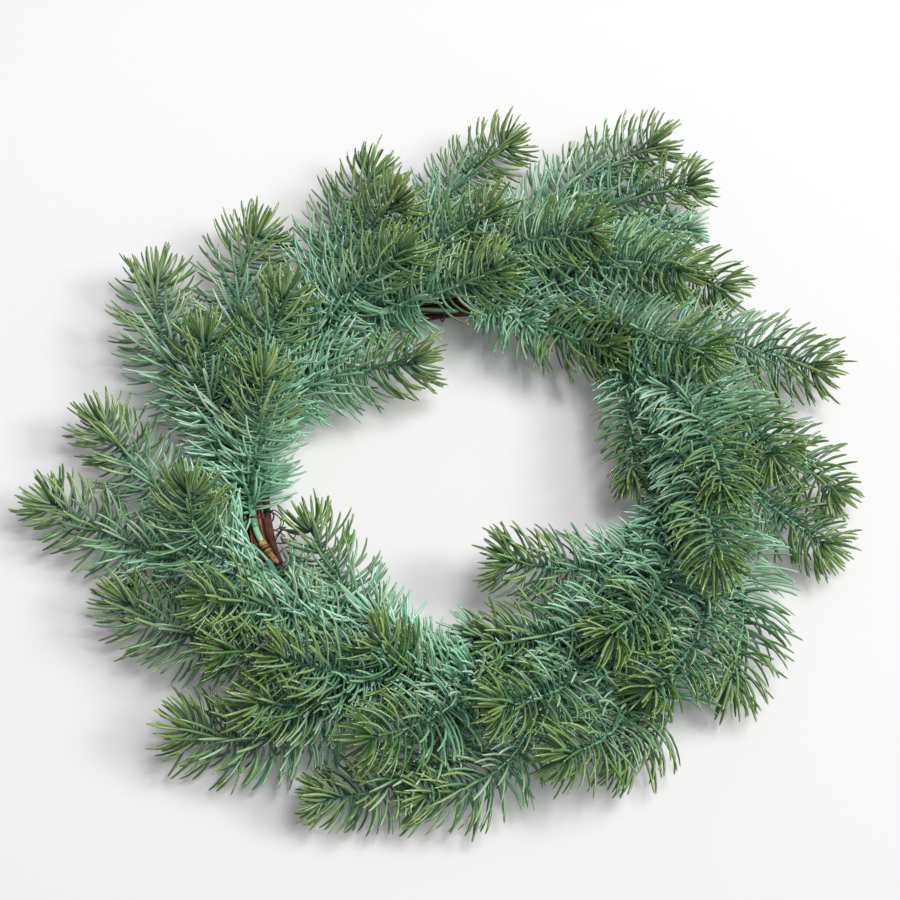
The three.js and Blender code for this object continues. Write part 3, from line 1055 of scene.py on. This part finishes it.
@dataclass
class Spray:
    """One moulded spray: a stalk along the top of the ring and the twigs that grow from it."""

    name: str
    start: float
    end: float
    twigs: tuple[Twig, ...]
    tip_length: float = 24.0
    seam: float = 0.3
    stalk: StemShape = StemShape(radius=2.1, step=2.4)
    stem: StemShape = StemShape(radius=1.2, step=2.2, taper=0.2)
    shoot: StemShape = StemShape(radius=1.0, step=1.8, taper=0.45)
    shoot_ripe: float = 0.2
    # The stalk's needles lie low by the ring, and their low paleness paints shade on them; the plain
    # twigs' needles get some painted shade too.
    stalk_coat: Coat = Coat(
        spacing=(0.42, 0.42), lean=(88, 84), length=(25, 25), ripe=(0.06, 0.06), bend=(34.0, 34.0),
        bare=10.0, paleness=0.4)
    twig_coat: Coat = Coat(
        spacing=(0.4, 0.56), lean=(94, 88), length=(29.5, 30.0), ripe=(0.0, 0.92), bend=(46.0, 46.0),
        flatten=0.34, bare=3.0, ripening=1.8)
    plain_coat: Coat = Coat(
        spacing=(0.6, 0.6), lean=(80, 60), length=(18.5, 15.5), ripe=(0.0, 0.1), bend=(34.0, 30.0),
        bare=4.0, paleness=0.7)
    tip_coat: Coat = Coat(
        spacing=(0.6, 0.5), lean=(88, 74), length=(29.5, 25.5), ripe=(0.9, 1.0), bend=(46.0, 44.0),
        flatten=0.18)
    brush: Brush = Brush()
    plain_ripe: float = 0.15
    marks: tuple[str, ...] = ("tone", "ripe", "along")

    @property
    def butt(self) -> Butt:
        """The stalk's bare start."""
        return Butt(self.start)

    def build(self, supplies: Supplies) -> int:
        """Builds the spray's green piece, an olive piece for each twig's end, and the stalk's bare start.

        Args:
            supplies: what it is made of.

        Returns:
            How many needles it has.
        """
        shape, random = supplies.shape, supplies.random
        green = Skin(self.marks)
        self.butt.build(green, supplies.trim, random)
        crest = Route(RING.crest(np.linspace(self.start, self.end, 60)))
        stalk = self.stalk.build(green, crest, (0.0, 1.0), random)
        needles = shape.grow(stalk, self.stalk_coat)
        for number, twig in enumerate(self.twigs, start=1):
            path = COURSE.route(twig)
            split = 1.0 if twig.plain else 1 - self.tip_length / path.length
            stem = self.stem.build(green, path, (0.0, split), random)
            needles += shape.grow(stem, self.plain_coat if twig.plain else self.twig_coat, twig)
            if twig.plain:
                needles += self.brush.grow(stem, shape, twig, self.plain_ripe)
            else:
                needles += self.build_tip(number, twig, path, split + self.seam / path.length, supplies)
        green.build(f"foliage_{self.name}", supplies.finish, Slot.GREEN, f"spray_{self.name}")
        return needles

    def build_tip(self, number: int, twig: Twig, path: Route, split: float, supplies: Supplies) -> int:
        """Builds a twig's olive end.

        Args:
            number: the twig's number in the spray.
            twig: the twig.
            path: the twig's path.
            split: where the end starts, as a share of the path.
            supplies: what it is made of.

        Returns:
            How many needles it has.
        """
        tuft = Skin(self.marks)
        ripe = (self.shoot_ripe, min(twig.ripeness, 1.0))
        shoot = self.shoot.build(tuft, path, (split, 1.0), supplies.random, ripe)
        needles = supplies.shape.grow(shoot, self.tip_coat, twig)
        needles += self.brush.grow(shoot, supplies.shape, twig, twig.ripeness)
        place = f"{self.name}_{number}"
        tuft.build(f"tuft_{place}", supplies.finish, Slot.OLIVE, f"tip_{place}")
        return needles


OVERLYING = Twig(88, (87, 76, 38), -18, 5, ripeness=1.45)
SPRAYS = (
    Spray("left_low", 244, 206, (
        Twig(239, (-133, -118, 44), 178, 12),
        Twig(235, (-143, -92, 58), 179, 12),
        Twig(229, (-192, -80, 23), 142, 2, fullness=1.08),
        Twig(219, (-239, -18, 23), 148, 1),
        Twig(213, (-154, -30, 62), 84, 20),
        Twig(207, (-212, 32, 25), 124, 1),
    )),
    Spray("left", 196, 156, (
        Twig(188, (-116, 43, 66), 87, 20),
        Twig(182, (-152, 74, 52), 90, 14),
        Twig(174, (-187, 131, 24), 92, -1, fullness=1.1),
        Twig(167, (-106, 97, 62), 68, 15),
        Twig(163, (-29, 68, 36), 8, 3),
        Twig(157, (-126, 161, 29), 63, 4, fullness=1.06),
        Twig(168, (-78, 75, 32), 41, 3, plain=True, fullness=1.3),
    )),
    Spray("top_left", 148, 107, (
        Twig(143, (-57, 207, 23), 60, 3),
        Twig(139, (-37, 128, 62), 29, 15),
        Twig(134, (-40, 168, 56), 32, 30),
        Twig(125, (19, 117, 60), 20, 13),
        Twig(117, (16, 161, 54), 26, 15),
        Twig(108, (26, 229, 25), 34, 6, fullness=0.94),
        Twig(122, (-4, 105, 32), -6, 3, plain=True, fullness=0.8),
    )),
    Spray("top_right", 102, 66, (
        Twig(97, (76, 142, 64), -3, 15),
        Twig(92, (119, 229, 25), 23, 6),
        OVERLYING,
        Twig(83, (139, 196, 31), 10, 5, fullness=0.92),
        Twig(78, (127, 118, 58), -26, 14),
        Twig(72, (138, 167, 25), 4, -4, fullness=0.68, ripeness=0.3),
        Twig(67, (155, 123, 29), -30, 0),
        Twig(95, (39, 95, 32), -34, 3, plain=True, fullness=0.7),
    )),
    Spray("right", 62, 27, (
        Twig(57, (138, 60, 62), -31, 16),
        Twig(50, (208, 68, 29), -20, -3),
        Twig(44, (98, -7, 32), -86, 3, fullness=0.74),
        Twig(38, (176, -4, 56), -60, 11),
        Twig(33, (143, -30, 72), -83, 7),
        Twig(28, (212, -13, 27), -50, -2, fullness=0.92),
    )),
    Spray("right_low", 22, -22, (
        Twig(17, (137, -77, 74), -87, 13),
        Twig(12, (205, -46, 26), -39, -6, fullness=0.94),
        Twig(0, (147, -130, 25), -110, -6, fullness=1.08),
        Twig(-10, (101, -145, 54), -137, 15),
        Twig(-14, (80, -117, 64), -138, 17),
        Twig(-21, (24, -63, 42), 171, 8),
        Twig(-2, (89, -58, 34), -131, 3, plain=True),
    )),
    Spray("bottom_right", -27, -66, (
        Twig(-32, (15, -112, 40), -173, 3),
        Twig(-38, (85, -173, 25), -152, -2),
        Twig(-46, (54, -182, 52), -159, 12),
        Twig(-54, (19, -158, 62), -166, 17),
        Twig(-65, (-23, -195, 25), -176, -3),
        Twig(-57, (4, -105, 32), 174, 3, plain=True),
    )),
    Spray("bottom_left", -71, -111, (
        Twig(-78, (-48, -120, 58), 138, 27),
        Twig(-82, (-51, -175, 60), -162, 15),
        Twig(-86, (-78, -196, 23), -180, 1, fullness=0.86),
        Twig(-94, (-101, -129, 62), 165, 16),
        Twig(-99, (-88, -41, 36), 119, 6),
        Twig(-104, (-113, -151, 50), 178, 18),
        Twig(-110, (-152, -157, 24), 160, 5, fullness=1.1),
        Twig(-88, (-51, -92, 32), 143, 3, plain=True),
    )),
)


@dataclass(frozen=True)
class Openings:
    """The places where the needles are parted, so that the vine, a butt or a gap shows."""

    open_butt: str = "left"
    top_vine: Pair = (90.0, 101.0)
    right_vine: Pair = (44.5, 49.5)
    notch: tuple[Place, Place] = ((121.0, -142.0, 12.0), (118.0, -149.0, 12.0))
    covered: str = "right"
    cover_from: float = 0.62

    def everywhere(self) -> tuple[Parting, ...]:
        """Gives the partings that every spray keeps clear.

        Returns:
            The partings of all the butts, the vine at the top and the notch.
        """
        butts = [part for spray in SPRAYS for part in spray.butt.parting(spray.name == self.open_butt)]
        notch = Parting(np.array(self.notch), radius=6.5, height=40.0, depth=12.0)
        return (*butts, Parting.over_vine(*self.top_vine), notch)

    def under_twig(self) -> tuple[Parting, ...]:
        """Gives the partings of the spray that lies under the overlying twig."""
        upper = COURSE.route(OVERLYING).at(np.linspace(self.cover_from, 1, 12))
        return Parting(upper, radius=7.5, height=40.0, depth=1.0), Parting.over_vine(*self.right_vine)


@dataclass
class Vine:
    """One long vine of the ring, with ridged bark and knots."""

    name: str
    turns: int
    twists: int
    offset: float
    radius: float
    start: float
    end_gap: float = 6.0
    step: float = 3.6
    sides: int = 14
    slimness: float = 0.9
    ridges: int = 5
    ridge_height: float = 0.15
    ridge_twist: float = 3.0
    ridge_wander: float = 0.12
    knot_spacing: float = 64.0
    knot_variety: Pair = (0.6, 1.4)
    knot_length: float = 3.2
    knot_height: float = 0.16

    def build(self, material: bpy.types.Material, random: Draws) -> None:
        """Builds the vine and puts it in place of its node.

        Args:
            material: the bark.
            random: the stream of draws.
        """
        sweep = 360 * self.turns - self.end_gap
        length = math.radians(sweep) * RING.radius
        stations = round(length / self.step)
        travelled = np.linspace(0, sweep, stations)
        centres = RING.point(self.start - travelled, travelled * self.twists / self.turns, self.offset)
        level, lift = level_and_lift(unit(np.gradient(centres, axis=0)))
        turn = FULL_TURN * np.arange(self.sides) / self.sides
        twist = np.radians(travelled * self.ridge_twist)[:, None]
        wander = np.cumsum(random.normal(0, self.ridge_wander, stations))[:, None]
        ridge = np.cos(self.ridges * turn + twist + wander)
        ridge = ridge * (0.6 + 0.4 * np.cos(2 * turn - wander))
        spread = random.uniform(*self.knot_variety, round(length / self.knot_spacing))
        knots = np.cumsum(spread * self.knot_spacing)
        off = (np.linspace(0, length, stations)[:, None] - knots) / self.knot_length
        near = np.exp(-off ** 2).sum(axis=1)[:, None]
        girth = self.radius * (self.slimness + self.ridge_height * ridge + self.knot_height * near)
        rings = (centres[:, None] + lift[:, None] * (girth * np.cos(turn))[..., None]
                 + level[:, None] * (girth * np.sin(turn))[..., None])
        rings[..., 2] = np.maximum(rings[..., 2], 0.0)
        skin = Skin(("ridge",))
        stored = np.concatenate([ridge.reshape(-1), np.zeros(2)])[None]
        skin.add_rings(rings[None], centres[None, [0, -1]], {"ridge": stored})
        skin.build(f"bark_{self.name}", material, Slot.VINE, self.name)


@dataclass
class Tendrils:
    """Thin dry shoots that curl out of the vine's inner side."""

    close: tuple[float, ...] = (189.0, 194.0, 197.0, 199.5, 202.0)
    others: int = 12
    cord: Cord = Cord(0.36, step=0.7)
    roll: Pair = (140.0, 195.0)
    sunk: float = 1.5
    along_ring: float = 6.0
    tilt: float = 0.4
    length: Pair = (15.0, 27.0)
    turns: Pair = (0.5, 1.0)
    floor: float = 1.0
    steps: int = 70

    def route(self, around: float, random: Draws) -> Route:
        """Draws one shoot, which leaves the ring and curls up more and more.

        Args:
            around: the angle round the ring, in degrees.
            random: the stream of draws.

        Returns:
            Its path.
        """
        place = RING.point(around, random.uniform(*self.roll), RING.bundle - self.sunk)
        out = place - RING.point(around, 0.0, 0.0)
        ahead = unit(out + heading(around + 90 * random.choice([-1, 1]), 0) * self.along_ring)
        tilts = [random.normal(0, self.tilt), random.normal(0, self.tilt)]
        axis = unit(np.array([*tilts, random.choice([-1.0, 1.0])]))
        stride = random.uniform(*self.length) / self.steps
        tightening = 2 * FULL_TURN * random.uniform(*self.turns) / self.steps ** 2
        points = [place]
        for step in range(self.steps):
            ahead = unit(ahead + tightening * (step + 1) * np.cross(axis, ahead))
            place = place + ahead * stride
            points.append(place)
        points = np.array(points)
        points[:, 2] = np.maximum(points[:, 2], self.floor)
        return Route(points)

    def build(self, material: bpy.types.Material, random: Draws) -> None:
        """Builds the shoots as one piece.

        Args:
            material: their finish.
            random: the stream of draws.
        """
        skin = Skin()
        for around in (*self.close, *random.uniform(0, 360, self.others)):
            self.cord.build(skin, self.route(float(around), random))
        skin.build("vine_tendrils", material, Slot.VINE)


@dataclass
class BindingWire:
    """The thin wire that binds each stalk to the ring."""

    radius: float = 0.5
    slack: float = 0.6
    setback: float = 2.5
    turn_width: float = 4.0
    turn_points: int = 60
    run_points: int = 12
    lash: float = 334.0
    tail: float = 12.0
    bulge: float = 20.0
    floor: float = 0.75
    first_roll: float = 120.0
    stalk_radius: float = 2.2

    def point(self, around: Points, roll: Points) -> Points:
        """Finds points of the wire, which bulges over the stalk and lies level underneath.

        Args:
            around: the angle round the ring, in degrees.
            roll: the angle round the ring's core, in degrees.

        Returns:
            The points, in millimetres from the ring's centre.
        """
        reach = RING.bundle + self.slack + self.radius
        over = RING.stalk_height + self.stalk_radius + self.slack + self.radius - RING.height - reach
        off_top = np.abs((roll - TOP + 180) % 360 - 180)
        points = RING.point(around, roll, reach + over * np.exp(-((off_top / self.bulge) ** 2)))
        points[..., 2] = np.maximum(points[..., 2], self.floor)
        return points

    def route(self) -> Route:
        """Draws the wire's route: a turn at each stalk's start, and the inner shoulder between.

        Returns:
            The route, in millimetres from the ring's centre.
        """
        stretches = []
        starts = [spray.start - self.setback for spray in SPRAYS]
        ends = [*starts[1:], starts[-1] - self.turn_width - self.tail]
        for start, run_end in zip(starts, ends):
            swing = self.lash * np.linspace(0, 1, self.turn_points)
            stretches.append(self.point(start - self.turn_width * swing / 360, self.first_roll - swing))
            turn_end = start - self.turn_width
            run = (turn_end - run_end) % 360 * np.arange(self.run_points) / self.run_points
            stretches.append(self.point(turn_end - run, np.full(self.run_points, self.first_roll)))
        return Route(np.concatenate(stretches))

    def build(self, material: bpy.types.Material) -> None:
        """Builds the wire and puts it in place of its node.

        Args:
            material: the wire's finish.
        """
        skin = Skin()
        Cord(self.radius).build(skin, self.route())
        skin.build("binding_wire_round", material, Slot.WIRE, "binding_wire")


@dataclass(frozen=True)
class Lamp:
    """A soft square light that faces the wreath, with its place in metres and power in watts."""

    name: str
    place: Place
    size: float
    power: float
    colour: Colour

    def build(self) -> None:
        """Adds the light."""
        data = bpy.data.lights.new(self.name, "AREA")
        data.size = self.size
        data.energy = self.power
        data.color = self.colour
        light = put(self.name, data)
        light.location = self.place
        look(light, -Vector(self.place))


@dataclass
class Studio:
    """The pale floor with painted light on it, the soft light and the camera."""

    target: Place = (-8.5, 18.0, 20.0)
    elevation: float = 63.0
    distance: float = 1.4
    frame_width: float = 0.5274
    sensor: float = 36.0
    floor_size: float = 12.0
    floor_colour: float = 0.57
    # Painted light across the floor: how much lighter and darker it gets, by a slope and a range.
    floor_contrast: float = 0.08
    floor_light_slope: Pair = (0.114, 0.19)
    floor_range: Pair = (-0.065, 0.095)
    mottle: float = 0.03
    # Painted light: the floor glows a little to lift its shadows.
    floor_glow: float = 0.1
    sky: Colour = (1.0, 0.965, 1.04)
    sky_strength: float = 0.29
    lamps: tuple[Lamp, ...] = (
        Lamp("overhead", (0.9, 0.0, 3.15), 1.0, 84.0, (1.0, 0.998, 0.99)),
        Lamp("side", (3.25, -0.25, 3.2), 1.3, 142.0, (1.0, 0.995, 0.985)),
    )

    def build_camera(self) -> None:
        """Sets the camera at the photograph's angle."""
        data = bpy.data.cameras.new("camera")
        data.sensor_width = self.sensor
        data.lens = self.sensor * self.distance / self.frame_width
        camera = put("camera", data)
        ahead = Vector(heading(90, -self.elevation))
        camera.location = Vector(RING.to_frame(np.array(self.target))) - ahead * self.distance
        look(camera, ahead)
        bpy.context.scene.camera = camera

    def build_floor(self) -> None:
        """Lays the floor that the wreath lies on, with painted light: its colour is lighter towards the
        back and the left, and it glows a little to lift its shadows.
        """
        half = self.floor_size / 2
        corners = [(-half, -half, 0), (half, -half, 0), (half, half, 0), (-half, half, 0)]
        mesh = bpy.data.meshes.new("floor")
        mesh.from_pydata(corners, [], [(0, 1, 2, 3)])
        graph = Graph("floor_paper")
        place = graph.place()
        # Painted light: the floor's colour is lighter towards the back and the left.
        across, away = (graph.node("ShaderNodeSeparateXYZ", {}, {0: place}, axis) for axis in "XY")
        slope = away * self.floor_light_slope[1] - across * self.floor_light_slope[0]
        shade = graph.remap(slope + graph.noise(1.1, 2.0) * self.mottle, *self.floor_range)
        darker, lighter = ((self.floor_colour * (1 + change),) * 3
                           for change in (-self.floor_contrast, self.floor_contrast))
        fixed = {
            "Roughness": 0.9,
            "Specular IOR Level": 0.1,
            "Emission Color": (1.0, 1.0, 1.0, 1.0),
            "Emission Strength": self.floor_glow,
        }
        mesh.materials.append(graph.finish({"Base Color": graph.blend(shade, darker, lighter)}, fixed))
        put("floor", mesh)

    def build_sky(self) -> None:
        """Fills the room with even pale light."""
        world = bpy.data.worlds.new("room")
        world.use_nodes = True
        background = world.node_tree.nodes["Background"]
        background.inputs["Color"].default_value = (*self.sky, 1.0)
        background.inputs["Strength"].default_value = self.sky_strength
        bpy.context.scene.world = world

    def build(self) -> None:
        """Builds the whole studio."""
        self.build_camera()
        self.build_floor()
        for lamp in self.lamps:
            lamp.build()
        self.build_sky()
        bpy.context.scene.view_settings.view_transform = "Standard"


def main() -> None:
    """Builds the studio and every piece of the wreath."""
    logging.basicConfig(level=logging.INFO, format="%(name)s %(message)s")
    Studio().build()
    random = np.random.default_rng(SEED)
    bark = BarkFinish("vine_bark").material()
    enamel = PlainFinish("wire_enamel", srgb(52, 34, 26), srgb(78, 54, 40), (0.35, 0.2), scale=300.0)
    shoots = PlainFinish("dry_tendril", srgb(70, 42, 34), srgb(40, 26, 24), (0.5, 0.2), scale=700.0)
    Vine("vine_inner", turns=3, twists=4, offset=3.1, radius=2.4, start=130).build(bark, random)
    Vine("vine_outer", turns=5, twists=11, offset=8.5, radius=2.5, start=200).build(bark, random)
    BindingWire().build(enamel.material())
    Tendrils().build(shoots.material(), random)
    finish = NeedleFinish().material()
    trim = ButtTrim()
    openings = Openings()
    shape = NeedleShape(openings.everywhere())
    lying_under = replace(shape, partings=shape.partings + openings.under_twig())
    grown = 0
    for index, spray in enumerate(SPRAYS):
        chosen = lying_under if spray.name == openings.covered else shape
        grown += spray.build(Supplies(chosen, finish, trim, np.random.default_rng(SEED + index)))
    trim.build()
    LOG.info("%d needles", grown)


if __name__ == "__main__":
    main()
